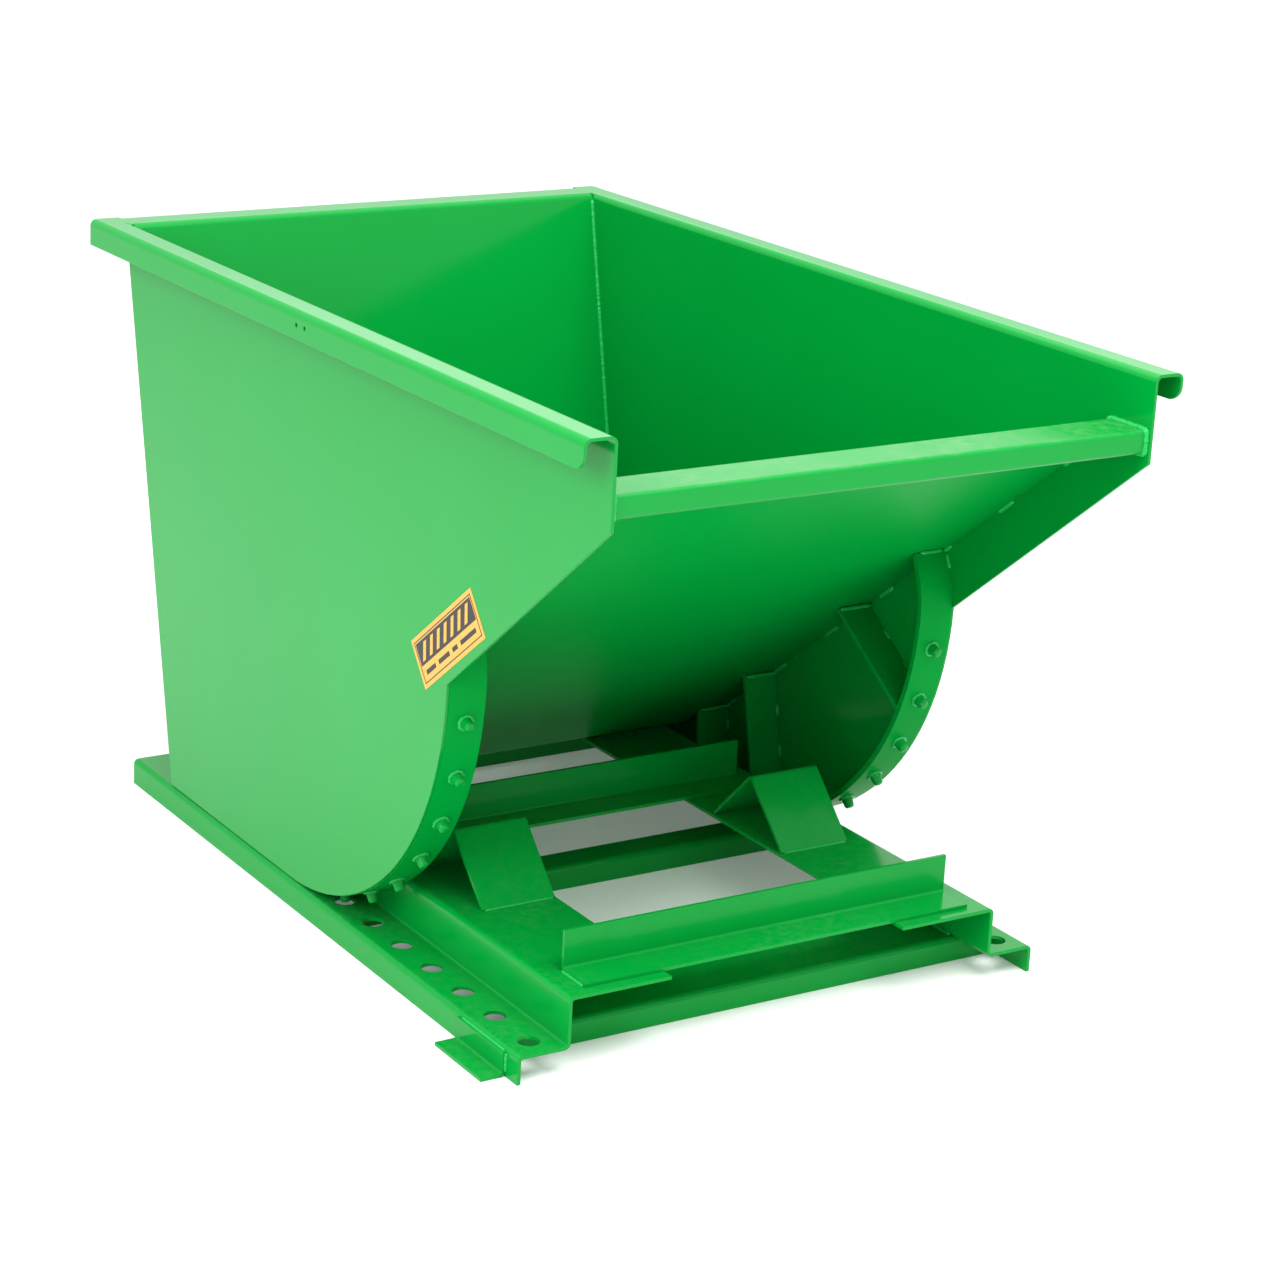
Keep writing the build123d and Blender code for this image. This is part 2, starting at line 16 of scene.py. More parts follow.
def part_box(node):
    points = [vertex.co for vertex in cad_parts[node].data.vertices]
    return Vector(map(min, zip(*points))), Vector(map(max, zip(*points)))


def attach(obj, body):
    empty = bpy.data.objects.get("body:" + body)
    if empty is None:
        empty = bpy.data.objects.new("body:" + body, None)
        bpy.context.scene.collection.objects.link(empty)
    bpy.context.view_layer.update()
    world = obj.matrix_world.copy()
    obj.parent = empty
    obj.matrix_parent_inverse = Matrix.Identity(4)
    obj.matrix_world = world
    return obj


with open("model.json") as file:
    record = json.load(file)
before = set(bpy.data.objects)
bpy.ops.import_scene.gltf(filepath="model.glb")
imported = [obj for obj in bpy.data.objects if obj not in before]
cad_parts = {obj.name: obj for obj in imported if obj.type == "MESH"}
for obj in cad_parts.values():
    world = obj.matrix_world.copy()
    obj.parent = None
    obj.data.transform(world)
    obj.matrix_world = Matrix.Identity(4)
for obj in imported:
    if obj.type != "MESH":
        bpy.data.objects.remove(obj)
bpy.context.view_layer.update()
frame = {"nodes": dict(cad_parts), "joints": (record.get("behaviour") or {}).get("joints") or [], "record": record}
joints = {j["name"]: j for j in frame["joints"]}
rng = random.Random(7)  # drawn from by the weld ripples only

# ---- the design's own lines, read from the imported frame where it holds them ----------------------
CENTRE = Vector(joints["bin_tip"]["pos_m"])  # axis of the rocker arcs
ROCKER_RADIUS = frame["record"]["behaviour"]["couplings"][0]["ratio"]
STRIP_THICKNESS = 0.010
TURN_ANGLE = 88.0  # degrees, where a rocker strip leaves its arc and turns in to the chute
TURN_RADIUS = 0.200
CHUTE_ANGLE = math.radians(38.1)
BACK_LEAN = math.radians(12.1)
SHEET = 0.005  # chute and floor
WALL = 0.006  # back wall
SIDES = (("left", -1), ("right", 1))

chute_low, chute_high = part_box("chute_and_floor")
tube_low, tube_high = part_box("front_tube")
back_low, back_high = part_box("back_wall")
rail_low, rail_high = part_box("rail_left")
strip_low, strip_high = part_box("rocker_strip_right")
SIDE_INNER = chute_high.x
RIM_TOP = back_high.z
FLOOR_TOP = chute_low.z + SHEET
DECK_TOP = rail_high.z


def chute_z(y, lift=0.0):
    """Height of the chute's underside at y, or of a surface that lies lift above it."""
    top_edge = chute_high.z - SHEET / math.cos(CHUTE_ANGLE)
    return top_edge + (tube_high.y - y) * math.tan(CHUTE_ANGLE) + lift / math.cos(CHUTE_ANGLE)


def chute_y(z, lift=0.0):
    """Where along Y that surface is at height z."""
    return tube_high.y + (chute_z(tube_high.y, lift) - z) / math.tan(CHUTE_ANGLE)


def back_wall_y(z):
    """Inner face of the back wall at height z."""
    return back_low.y + math.tan(BACK_LEAN) * (z - back_low.z)


def back_outer_y(z, lift):
    """Outer face of the back wall at height z, or a surface that lies lift behind it."""
    return back_wall_y(z) + WALL / math.cos(BACK_LEAN) + lift


def rocker_point(x, radius, degrees):
    """A point about the rockers' axis; the angle opens forwards from straight down."""
    turn = math.radians(degrees)
    return Vector((x, CENTRE.y - radius * math.sin(turn), CENTRE.z - radius * math.cos(turn)))


# ---- shader groups -------------------------------------------------------------------------------
def new_group(name, inputs, outputs):
    """A shader node group with named sockets; returns it with its input and output nodes."""
    group = bpy.data.node_groups.new(name, "ShaderNodeTree")
    for label, kind, value in inputs:
        socket = group.interface.new_socket(name=label, in_out="INPUT", socket_type=kind)
        socket.default_value = value
    for label, kind in outputs:
        group.interface.new_socket(name=label, in_out="OUTPUT", socket_type=kind)
    start = group.nodes.new("NodeGroupInput")
    end = group.nodes.new("NodeGroupOutput")
    return group, start, end


def add_node(tree, kind, values=None, **settings):
    """A node with its settings and the values of its input sockets."""
    node = tree.nodes.new(kind)
    for key, value in settings.items():
        setattr(node, key, value)
    for key, value in (values or {}).items():
        node.inputs[key].default_value = value
    return node


def add_math(tree, operation, a, b=0.0, clamp=False):
    """A Math node; a and b are numbers or output sockets. Returns its output socket."""
    node = add_node(tree, "ShaderNodeMath", operation=operation, use_clamp=clamp)
    for socket, value in zip(node.inputs, (a, b)):
        if isinstance(value, bpy.types.NodeSocket):
            tree.links.new(value, socket)
        else:
            socket.default_value = value
    return node.outputs[0]


def add_mix(tree, factor, a, b):
    """A colour Mix node; each argument is a value or an output socket."""
    node = add_node(tree, "ShaderNodeMix", data_type="RGBA", blend_type="MIX")
    for socket, value in ((node.inputs[0], factor), (node.inputs[6], a), (node.inputs[7], b)):
        if isinstance(value, bpy.types.NodeSocket):
            tree.links.new(value, socket)
        else:
            socket.default_value = value
    return node.outputs[2]


def ramp(tree, socket, low, high):
    """Maps low..high of a socket to 0..1, clamped."""
    node = add_node(tree, "ShaderNodeMapRange", {"From Min": low, "From Max": high}, clamp=True)
    tree.links.new(socket, node.inputs["Value"])
    return node.outputs["Result"]


def noise(tree, coordinates, scale, detail=3.0, roughness=0.5, distortion=0.0):
    """Noise on the object's own coordinates; scale is in cells per metre."""
    node = add_node(
        tree,
        "ShaderNodeTexNoise",
        {"Scale": scale, "Detail": detail, "Roughness": roughness, "Distortion": distortion},
    )
    tree.links.new(coordinates, node.inputs["Vector"])
    return node.outputs["Fac"]


# Noise scales, in cells per metre.
CHIP_SCALE = 34.0
DRIFT_SCALE = 2.2
SPECKLE_SCALE = 60.0
DUST_PATCH_SCALE = 5.0
SMEAR_SCALE = 7.0
PEEL_SCALE = 190.0
WAVE_SCALE = 4.5
DRAWING_SCALE = 420.0
DULL_PATCH_SCALE = 45.0


def build_edge_mask():
    """Edge Mask: 1 on outer edges of plates, broken up by noise, 0 on flats."""
    group, start, end = new_group(
        "edge_mask",
        [
            ("Coordinates", "NodeSocketVector", (0, 0, 0)),
            ("Edge Width", "NodeSocketFloat", 0.0015),
            ("Amount", "NodeSocketFloat", 0.5),
        ],
        [("Mask", "NodeSocketFloat"), ("Normal", "NodeSocketVector")],
    )
    bevel = add_node(group, "ShaderNodeBevel", samples=4)
    group.links.new(start.outputs["Edge Width"], bevel.inputs["Radius"])
    geometry = add_node(group, "ShaderNodeNewGeometry")
    dot = add_node(group, "ShaderNodeVectorMath", operation="DOT_PRODUCT")
    group.links.new(bevel.outputs["Normal"], dot.inputs[0])
    group.links.new(geometry.outputs["True Normal"], dot.inputs[1])
    turned = ramp(group, add_math(group, "SUBTRACT", 1.0, dot.outputs["Value"]), 0.04, 0.25)
    patches = ramp(group, noise(group, start.outputs["Coordinates"], CHIP_SCALE, 4.0), 0.46, 0.62)
    broken = add_math(group, "MULTIPLY", turned, patches)
    scaled = add_math(group, "MULTIPLY", broken, start.outputs["Amount"], clamp=True)
    group.links.new(scaled, end.inputs["Mask"])
    group.links.new(bevel.outputs["Normal"], end.inputs["Normal"])
    return group


DRIFT_STRENGTH = 0.3  # how far the paint drifts towards its thin colour on flats
DUST_COLOUR = (0.36, 0.42, 0.30, 1)
DUST_ROUGHNESS = 0.35
SMEAR_ROUGHNESS = 0.06
PEEL_DEPTH = 0.0004
WAVE_DEPTH = 0.004


def build_enamel():
    """Sprayed enamel: colour drift, worn edges, settled dust, orange peel and slightly wavy sheet."""
    group, start, end = new_group(
        "sprayed_enamel",
        [
            ("Coordinates", "NodeSocketVector", (0, 0, 0)),
            ("Paint", "NodeSocketColor", (0, 0.4, 0.05, 1)),
            ("Thin Paint", "NodeSocketColor", (0, 0.5, 0.08, 1)),
            ("Dust", "NodeSocketFloat", 0.1),
            ("Roughness", "NodeSocketFloat", 0.2),
            ("Peel", "NodeSocketFloat", 0.1),
            ("Wave", "NodeSocketFloat", 0.1),
            ("Edge Width", "NodeSocketFloat", 0.0015),
            ("Edge Wear", "NodeSocketFloat", 0.3),
        ],
        [("Color", "NodeSocketColor"), ("Roughness", "NodeSocketFloat"), ("Normal", "NodeSocketVector")],
    )
    coordinates = start.outputs["Coordinates"]
    drift = noise(group, coordinates, DRIFT_SCALE, 4.0, 0.55)
    thin = ramp(group, drift, 0.40, 0.72)
    drifted = add_math(group, "MULTIPLY", thin, DRIFT_STRENGTH)
    shade = add_mix(group, drifted, start.outputs["Paint"], start.outputs["Thin Paint"])
    edges = add_node(group, "ShaderNodeGroup")
    edges.node_tree = edge_mask
    group.links.new(coordinates, edges.inputs["Coordinates"])
    group.links.new(start.outputs["Edge Width"], edges.inputs["Edge Width"])
    group.links.new(start.outputs["Edge Wear"], edges.inputs["Amount"])
    shade = add_mix(group, edges.outputs["Mask"], shade, start.outputs["Thin Paint"])
    geometry = add_node(group, "ShaderNodeNewGeometry")
    split = add_node(group, "ShaderNodeSeparateXYZ")
    group.links.new(geometry.outputs["Normal"], split.inputs[0])
    facing_up = ramp(group, split.outputs["Z"], 0.55, 0.98)
    speckle = ramp(group, noise(group, coordinates, SPECKLE_SCALE, 6.0, 0.7), 0.42, 0.75)
    patches = ramp(group, noise(group, coordinates, DUST_PATCH_SCALE, 3.0), 0.35, 0.7)
    dust = add_math(group, "MULTIPLY", add_math(group, "MULTIPLY", speckle, patches), facing_up)
    dust = add_math(group, "MULTIPLY", dust, start.outputs["Dust"], clamp=True)
    shade = add_mix(group, dust, shade, DUST_COLOUR)
    group.links.new(shade, end.inputs["Color"])
    smear = ramp(group, noise(group, coordinates, SMEAR_SCALE, 5.0, 0.6, 0.4), 0.3, 0.75)
    rough = add_math(group, "MULTIPLY", smear, SMEAR_ROUGHNESS)
    rough = add_math(group, "ADD", rough, start.outputs["Roughness"])
    rough = add_math(group, "ADD", rough, add_math(group, "MULTIPLY", dust, DUST_ROUGHNESS), clamp=True)
    group.links.new(rough, end.inputs["Roughness"])
    peel = add_node(group, "ShaderNodeBump", {"Distance": PEEL_DEPTH})
    group.links.new(noise(group, coordinates, PEEL_SCALE, 2.0, 0.45), peel.inputs["Height"])
    group.links.new(start.outputs["Peel"], peel.inputs["Strength"])
    group.links.new(edges.outputs["Normal"], peel.inputs["Normal"])
    wave = add_node(group, "ShaderNodeBump", {"Distance": WAVE_DEPTH})
    group.links.new(noise(group, coordinates, WAVE_SCALE, 1.0, 0.4), wave.inputs["Height"])
    group.links.new(start.outputs["Wave"], wave.inputs["Strength"])
    group.links.new(peel.outputs["Normal"], wave.inputs["Normal"])
    group.links.new(wave.outputs["Normal"], end.inputs["Normal"])
    return group


DULL_PLATING = (0.46, 0.45, 0.42, 1)


def build_plated_bar():
    """Plated bar: fine drawing lines, dull patches."""
    group, start, end = new_group(
        "plated_bar",
        [("Coordinates", "NodeSocketVector", (0, 0, 0)), ("Tint", "NodeSocketColor", (0.6, 0.6, 0.58, 1))],
        [("Color", "NodeSocketColor"), ("Roughness", "NodeSocketFloat"), ("Normal", "NodeSocketVector")],
    )
    stretch = add_node(group, "ShaderNodeMapping", {"Scale": (6.0, 1.0, 1.0)})
    group.links.new(start.outputs["Coordinates"], stretch.inputs["Vector"])
    lines = noise(group, stretch.outputs["Vector"], DRAWING_SCALE, 3.0, 0.6)
    patches = ramp(group, noise(group, start.outputs["Coordinates"], DULL_PATCH_SCALE, 4.0), 0.35, 0.7)
    tone = add_mix(group, patches, start.outputs["Tint"], DULL_PLATING)
    group.links.new(tone, end.inputs["Color"])
    rough = add_math(group, "ADD", add_math(group, "MULTIPLY", patches, 0.2), 0.28)
    group.links.new(rough, end.inputs["Roughness"])
    bump = add_node(group, "ShaderNodeBump", {"Distance": 0.0003, "Strength": 0.35})
    group.links.new(lines, bump.inputs["Height"])
    group.links.new(bump.outputs["Normal"], end.inputs["Normal"])
    return group


edge_mask = build_edge_mask()
enamel = build_enamel()
plated_bar = build_plated_bar()


def new_material(name, group, group_values, shader_values):
    """A Principled material fed by one group, with uniform numbers on the shader itself."""
    material = bpy.data.materials.new(name)
    material.use_nodes = True
    tree = material.node_tree
    shader = tree.nodes["Principled BSDF"]
    for key, value in shader_values.items():
        shader.inputs[key].default_value = value
    coordinates = add_node(tree, "ShaderNodeTexCoord")
    surface = add_node(tree, "ShaderNodeGroup")
    surface.node_tree = group
    tree.links.new(coordinates.outputs["Object"], surface.inputs["Coordinates"])
    for key, value in group_values.items():
        surface.inputs[key].default_value = value
    tree.links.new(surface.outputs["Color"], shader.inputs["Base Color"])
    tree.links.new(surface.outputs["Roughness"], shader.inputs["Roughness"])
    tree.links.new(surface.outputs["Normal"], shader.inputs["Normal"])
    return material


# ---- finishes ------------------------------------------------------------------------------------
GREEN = (0.0, 0.270, 0.033, 1)
THIN_GREEN = (0.002, 0.310, 0.048, 1)
# Painted highlight: the welds get a lighter green than the sheets to stand in for the light specks their ripples
# catch; the real beads wear the same enamel.
WELD_GREEN_PAINTED_HIGHLIGHT = (0.010, 0.400, 0.075, 1)
enamel_look = {
    "Paint": GREEN,
    "Thin Paint": THIN_GREEN,
    "Dust": 0.03,
    "Roughness": 0.09,
    "Peel": 0.08,
    "Wave": 0.06,
    "Edge Width": 0.0016,
    "Edge Wear": 0.35,
}
gloss = {"IOR": 1.33}
sheet_enamel = new_material("green_enamel_sheet", enamel, enamel_look, {"IOR": 1.31})
frame_enamel = new_material(
    "green_enamel_frame",
    enamel,
    {**enamel_look, "Dust": 0.08, "Roughness": 0.14, "Wave": 0.03, "Peel": 0.12, "Edge Wear": 0.45},
    {"IOR": 1.33, "Specular IOR Level": 0.32},
)
chute_enamel = new_material(
    "green_enamel_chute",
    enamel,
    {**enamel_look, "Roughness": 0.28, "Wave": 0.02, "Peel": 0.05},
    {"IOR": 1.33, "Specular IOR Level": 0.05},
)
tube_enamel = new_material(
    "green_enamel_tube",
    enamel,
    {**enamel_look, "Dust": 0.45, "Roughness": 0.30, "Peel": 0.04},
    gloss,
)
# Enamel for the weld beads and peg collars, painted a lighter green as a painted highlight; its peel bump is their
# real surface.
weld_enamel_painted_highlight = new_material(
    "green_enamel_weld_painted_highlight",
    enamel,
    {
        **enamel_look,
        "Paint": WELD_GREEN_PAINTED_HIGHLIGHT,
        "Roughness": 0.16,
        "Peel": 0.5,
        "Wave": 0.0,
        "Edge Width": 0.0003,
        "Edge Wear": 0.0,
    },
    gloss,
)
plated_steel = new_material("plated_steel_bar", plated_bar, {}, {"Metallic": 1.0})
label_film = new_material(
    "label_film_yellow",
    enamel,
    {
        **enamel_look,
        "Paint": (0.62, 0.34, 0.050, 1),
        "Thin Paint": (0.66, 0.39, 0.075, 1),
        "Wave": 0.03,
        "Edge Width": 0.0002,
        "Roughness": 0.22,
    },
    gloss,
)
label_ink = new_material(
    "label_ink_dark",
    enamel,
    {
        **enamel_look,
        "Paint": (0.020, 0.015, 0.015, 1),
        "Thin Paint": (0.030, 0.022, 0.022, 1),
        "Wave": 0.0,
        "Edge Width": 0.0001,
        "Roughness": 0.28,
    },
    gloss,
)
grip_rubber = new_material(
    "black_grip_rubber",
    enamel,
    {
        **enamel_look,
        "Paint": (0.018, 0.018, 0.018, 1),
        "Thin Paint": (0.035, 0.034, 0.032, 1),
        "Peel": 0.6,
        "Roughness": 0.52,
    },
    {"IOR": 1.45},
)

SHEET_NODES = ("side_plate_left", "side_plate_right", "back_wall")
OTHER_FINISHES = {
    "chute_and_floor": chute_enamel,
    "front_tube": tube_enamel,
    "rocker_strip_left": chute_enamel,
    "rocker_strip_right": chute_enamel,
    "latch_pin": plated_steel,
    "striker_bar": plated_steel,
    "handle_grip": grip_rubber,
    "safety_label": label_film,
}
for node_name, node in frame["nodes"].items():
    finish = OTHER_FINISHES.get(node_name, sheet_enamel if node_name in SHEET_NODES else frame_enamel)
    node.data.materials.clear()
    node.data.materials.append(finish)


# ---- making pieces -------------------------------------------------------------------------------
def finish_piece(name, mesh_maker, body, material, smooth=True):
    """Turns a bmesh into a named object that rides on a body."""
    mesh = bpy.data.meshes.new(name)
    mesh_maker.to_mesh(mesh)
    mesh_maker.free()
    for polygon in mesh.polygons:
        polygon.use_smooth = smooth
    mesh.materials.append(material)
    piece = bpy.data.objects.new(name, mesh)
    bpy.context.scene.collection.objects.link(piece)
    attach(piece, body)
    return piece


def stations(points, pitch):
    """Points about one pitch apart along a polyline, both ends included."""
    points = [Vector(p) for p in points]
    lengths = [(b - a).length for a, b in zip(points, points[1:])]
    total = sum(lengths)
    count = max(4, round(total / pitch))
    out = []
    for i in range(count + 1):
        left = total * i / count
        for a, b, length in zip(points, points[1:], lengths):
            if left <= length or b is points[-1]:
                out.append(a.lerp(b, min(1.0, left / length)))
                break
            left -= length
    return out


RIPPLE_PITCH = 0.0045
BEAD_SIDES = 8
RIPPLE_TROUGH = 0.80  # bead size between ripples
RIPPLE_UNEVENNESS = 0.16
END_SIZE, END_GAIN = 0.45, 0.28  # bead size at a seam's ends, and its gain per ring inwards


def lay_bead(bm, points, radius, closed=False):
    """One weld bead: a ring carried along the seam, swelling at every ripple."""
    path = stations(points, RIPPLE_PITCH / 2)
    if closed:
        path = path[:-1]
    tangent = (path[1] - path[0]).normalized()
    spin = Vector((0, 0, 1)).rotation_difference(tangent)
    last = len(path) - 1
    matrix = None
    for i, point in enumerate(path):
        ahead = path[min(i + 1, last)] - path[max(i - 1, 0)]
        ahead.normalize()
        spin = tangent.rotation_difference(ahead) @ spin
        tangent = ahead
        end_taper = 1.0 if closed else min(1.0, END_SIZE + END_GAIN * min(i, last - i))
        ripple = 1.0 if i % 2 else RIPPLE_TROUGH
        swell = ripple * (1.0 + rng.uniform(-RIPPLE_UNEVENNESS, RIPPLE_UNEVENNESS))
        size = radius * end_taper * swell
        new_matrix = Matrix.Translation(point) @ spin.to_matrix().to_4x4() @ Matrix.Scale(size, 4)
        if matrix is None:
            made = bmesh.ops.create_circle(bm, segments=BEAD_SIDES, radius=1.0, matrix=new_matrix)
            ring = list({e for v in made["verts"] for e in v.link_edges})
            first_ring = ring
        else:
            made = bmesh.ops.extrude_edge_only(bm, edges=ring)
            verts = [g for g in made["geom"] if isinstance(g, bmesh.types.BMVert)]
            ring = [g for g in made["geom"] if isinstance(g, bmesh.types.BMEdge)]
            ring = [e for e in ring if all(v in verts for v in e.verts)]
            bmesh.ops.transform(bm, matrix=new_matrix @ matrix.inverted(), verts=verts)
        matrix = new_matrix
    if closed:
        bmesh.ops.bridge_loops(bm, edges=ring + first_ring)
    else:
        bmesh.ops.contextual_create(bm, geom=ring)
        bmesh.ops.contextual_create(bm, geom=first_ring)


def weld(name, seams, radius, body, closed=False):
    """A piece that holds the beads of one group of seams."""
    joined = bmesh.new()
    for seam in seams:
        single = bmesh.new()
        lay_bead(single, seam, radius, closed)
        bmesh.ops.recalc_face_normals(single, faces=single.faces)
        carrier = bpy.data.meshes.new("carrier")
        single.to_mesh(carrier)
        single.free()
        joined.from_mesh(carrier)
        bpy.data.meshes.remove(carrier)
    return finish_piece(name, joined, body, weld_enamel_painted_highlight)


def tacks(start, end, length, count):
    """Short seams spread evenly from start to end."""
    start, end = Vector(start), Vector(end)
    run = end - start
    half = run.normalized() * length / 2
    middles = [start + half + (run - 2 * half) * i / max(1, count - 1) for i in range(count)]
    return [(m - half, m + half) for m in middles]


def spun_ring(bm, bore, radius, steps):
    """A ring of round section about Z; returns the vertices that it added."""
    section = Matrix.Translation((bore, 0, 0)) @ Matrix.Rotation(math.pi / 2, 4, "X")
    made = bmesh.ops.create_circle(bm, segments=BEAD_SIDES, radius=radius, matrix=section)
    ring = made["verts"] + list({e for v in made["verts"] for e in v.link_edges})
    bmesh.ops.spin(
        bm, geom=ring, cent=(0, 0, 0), axis=(0, 0, 1), angle=2 * math.pi, steps=steps, use_merge=True
    )
    fresh = [v for v in bm.verts if not v.tag]
    for v in fresh:
        v.tag = True
    return fresh


# ---- bin welds -----------------------------------------------------------------------------------
BEAD = 0.0048
SEAT = 0.001  # a bead's middle line stands this far off the sheet under it
WALL_SEAT = 0.0012  # and this far in from a side plate
CORNER_STOP = 0.012  # the rear corner seams end this far below the rim's top
CHUTE_TACK, CHUTE_TACKS = 0.045, 7
BACK_TACK, BACK_TACKS = 0.060, 6

fold_y = chute_y(FLOOR_TOP, SHEET)  # where the chute's top face would meet the floor's
heel_y = back_wall_y(FLOOR_TOP)  # where the floor meets the back wall
corner_top = RIM_TOP - CORNER_STOP
seam_start_y = tube_high.y + 0.004
tacks_start_y = tube_high.y + 0.06
tacks_end_z = FLOOR_TOP + 0.02
inner_seams = []
under_tacks = []
for sign in (-1, 1):
    x = sign * (SIDE_INNER - WALL_SEAT)
    inner_seams.append(
        [(x, heel_y - SEAT, FLOOR_TOP + SEAT), (x, back_wall_y(corner_top) - SEAT, corner_top)]
    )
    inner_seams.append(
        [
            (x, seam_start_y, chute_z(seam_start_y, SHEET) + SEAT),
            (x, fold_y - 0.012, FLOOR_TOP + 0.010),
            (x, fold_y + 0.016, FLOOR_TOP + SEAT),
            (x, heel_y - 2 * SEAT, FLOOR_TOP + SEAT),
        ]
    )
    under_start = (x, tacks_start_y, chute_z(tacks_start_y) - SEAT)
    under_end = (x, chute_y(tacks_end_z) - 0.02, tacks_end_z + 0.014)
    under_tacks += tacks(under_start, under_end, CHUTE_TACK, CHUTE_TACKS)
inner_seams.append([(sign * SIDE_INNER, heel_y - SEAT, FLOOR_TOP + SEAT) for sign in (-1, 1)])
weld("weld_bin_inside", inner_seams, BEAD, "bin")
weld("weld_chute_tacks", under_tacks, BEAD, "bin")

back_tacks = []
for sign in (-1, 1):
    x = sign * (SIDE_INNER - WALL_SEAT)
    ends = [(x, back_outer_y(z, SEAT), z) for z in (FLOOR_TOP + 0.02, RIM_TOP - 0.08)]
    back_tacks += tacks(*ends, BACK_TACK, BACK_TACKS)
weld("weld_back_tacks", back_tacks, BEAD, "bin")

TUBE_BEAD = 0.0058
TUBE_CORNER = 0.006
TUBE_SEAT = 0.0015
tube_seams = []
for sign in (-1, 1):
    x = sign * (SIDE_INNER - TUBE_SEAT)
    loop = []
    for cy, cz, start_angle in (
        (tube_low.y + TUBE_CORNER, tube_low.z + TUBE_CORNER, 180),
        (tube_high.y - TUBE_CORNER, tube_low.z + TUBE_CORNER, 270),
        (tube_high.y - TUBE_CORNER, tube_high.z - TUBE_CORNER, 0),
        (tube_low.y + TUBE_CORNER, tube_high.z - TUBE_CORNER, 90),
    ):
        for degrees in range(start_angle, start_angle + 91, 30):
            a = math.radians(degrees)
            loop.append((x, cy + TUBE_CORNER * math.cos(a), cz + TUBE_CORNER * math.sin(a)))
    loop.append(loop[0])
    tube_seams.append(loop)
weld("weld_tube_ends", tube_seams, TUBE_BEAD, "bin", closed=True)

MITRE_BEAD = 0.0016
mitre_z = RIM_TOP - 0.0019  # low enough for its ripples to stay under the rim's top
rim_seams = []
for sign in (-1, 1):
    inner_end = (sign * (SIDE_INNER + 0.002), back_wall_y(RIM_TOP) + 0.002, mitre_z)
    outer_end = (sign * back_high.x - sign * 0.003, back_high.y - 0.003, mitre_z)
    rim_seams.append([inner_end, outer_end])
weld("weld_rim_mitres", rim_seams, MITRE_BEAD, "bin")

# ---- rocker and brace welds ----------------------------------------------------------------------
ROCKER_BEAD = 0.0042
ARC_TACKS, ARC_TACK_PITCH, ARC_TACK_FIRST, ARC_TACK_HALF = 8, 12, 6, 2.8  # the last three in degrees
BRACE_DEPTH = 0.009  # what a brace's own thickness adds to its box along Y
MIN_BRACE_RISE = 0.001  # keeps the lean finite


def arc_seams(sign, outer_x):
    """Tacks between the rocker strip's inner face and the side plate."""
    x = outer_x - sign * SEAT
    radius = ROCKER_RADIUS - STRIP_THICKNESS - SEAT
    seams = []
    for k in range(ARC_TACKS):
        middle = ARC_TACK_FIRST + ARC_TACK_PITCH * k
        seams.append([rocker_point(x, radius, middle + d) for d in (-ARC_TACK_HALF, 0, ARC_TACK_HALF)])
    return seams


def strip_top_seams(sign, inner_x, outer_x, top_z):
    """The strip's end on the chute, and the last of its turn on the side plate."""
    top_y = chute_y(top_z, -SEAT)
    across = [(inner_x + sign * 0.011, top_y, top_z), (outer_x - sign * 0.009, top_y, top_z)]
    turn_centre = rocker_point(outer_x, ROCKER_RADIUS - TURN_RADIUS, TURN_ANGLE)
    down = []
    for drop in (0.006, 0.018, 0.030):
        height = top_z - drop
        reach = math.sqrt(TURN_RADIUS**2 - (height - turn_centre.z) ** 2)
        down.append((outer_x - sign * 0.0015, turn_centre.y - reach - 0.0005, height))
    return [across, down]


def brace_seams(sign, inner_x, outer_x, low, high):
    """A brace's end on the chute, and two tacks down its outer edge."""
    top_y = chute_y(high.z) - SEAT
    seams = [[(inner_x, top_y - 0.004, high.z - SEAT), (outer_x, top_y - 0.004, high.z - SEAT)]]
    lean = (high.y - low.y - BRACE_DEPTH) / max(MIN_BRACE_RISE, high.z - low.z)
    for share in (0.3, 0.62):
        z = high.z - (high.z - low.z) * share
        y = high.y - 0.010 - (high.z - z) * lean
        half = Vector((0, lean, 1)).normalized() * 0.011
        middle = Vector((outer_x - sign * SEAT, y, z))
        seams.append([middle - half, middle + half])
    return seams


for side, sign in SIDES:
    low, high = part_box(f"rocker_strip_{side}")
    inner_x, outer_x = (low.x, high.x) if sign > 0 else (high.x, low.x)
    seams = arc_seams(sign, outer_x) + strip_top_seams(sign, inner_x, outer_x, high.z)
    for place in ("front", "mid", "rear"):
        seams += brace_seams(sign, inner_x, outer_x, *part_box(f"{place}_brace_{side}"))
    weld(f"weld_rocker_{side}", seams, ROCKER_BEAD, "bin")

# ---- peg collars ---------------------------------------------------------------------------------
HOLE_FIRST = 0.043  # from the rail's front end to its first hole
PEG_PITCH = 0.1016
PEG_COUNT = 7
COLLAR_RADIUS, COLLAR_SECTION = 0.0114, 0.0032
LOWEST_COLLAR = 20.0  # degrees; a peg below this stands in its hole, and a collar would touch the ledge
strip_x = (strip_low.x + strip_high.x) / 2


def collar(bm, matrix):
    """A rippled ring of weld round a peg's foot."""
    fresh = spun_ring(bm, COLLAR_RADIUS, COLLAR_SECTION, steps=28)
    for v in fresh:
        angle = math.atan2(v.co.y, v.co.x)
        v.co *= 1 + 0.045 * math.sin(9 * angle) + 0.03 * math.sin(5 * angle + 1)
    bmesh.ops.transform(bm, matrix=matrix, verts=fresh)


